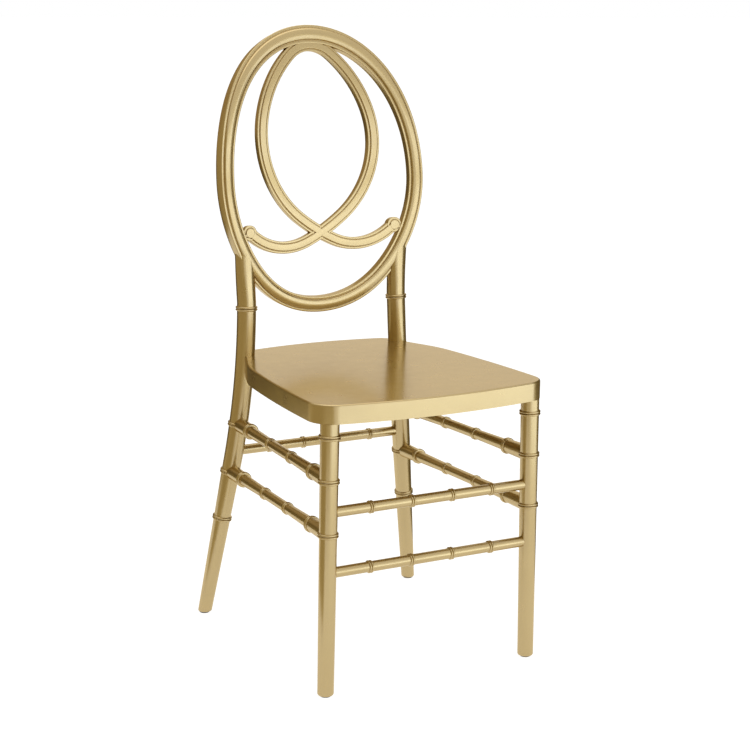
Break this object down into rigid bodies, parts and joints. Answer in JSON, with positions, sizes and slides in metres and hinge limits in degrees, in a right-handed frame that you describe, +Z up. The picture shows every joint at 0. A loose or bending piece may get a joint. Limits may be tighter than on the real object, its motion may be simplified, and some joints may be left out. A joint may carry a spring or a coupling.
{
  "type": "scroll back dining chair",
  "caption": "Gold painted side chair with an oval bowed back rim, a crossed scroll inside it, a flat moulded seat and bamboo-turned legs joined by rungs.",
  "frame": {"origin": "middle of the chair's box, on the floor", "axes": "+Z up, the chair faces -Y, +X to the right of somebody looking at its front"},
  "size_m": [0.4176, 0.4771, 0.9767],
  "materials": {
    "gold_paint": "satin metallic gold paint",
    "glide_plastic": "matte",
    "steel": "zinc plated",
    "brass": "turned",
    "dowel_wood": "raw"
  },
  "bodies": {
    "root": {"front_leg_left": "gold_paint", "front_leg_right": "gold_paint", "rear_leg_left": "gold_paint", "rear_leg_right": "gold_paint", "front_rung_upper": "gold_paint", "front_rung_lower": "gold_paint", "rear_rung": "gold_paint", "side_rung_left_upper": "gold_paint", "side_rung_left_lower": "gold_paint", "side_rung_right_upper": "gold_paint", "side_rung_right_lower": "gold_paint", "back_rim": "gold_paint", "back_scroll": "gold_paint", "seat_shell": "gold_paint", "foot_glide_front_left": "glide_plastic", "foot_glide_front_right": "glide_plastic", "foot_glide_rear_left": "glide_plastic", "foot_glide_rear_right": "glide_plastic", "seat_bolts": "steel", "bolt_washers": "steel", "leg_inserts": "brass", "post_dowels": "dowel_wood", "scroll_dowels": "dowel_wood"}
  },
  "joints": []
}
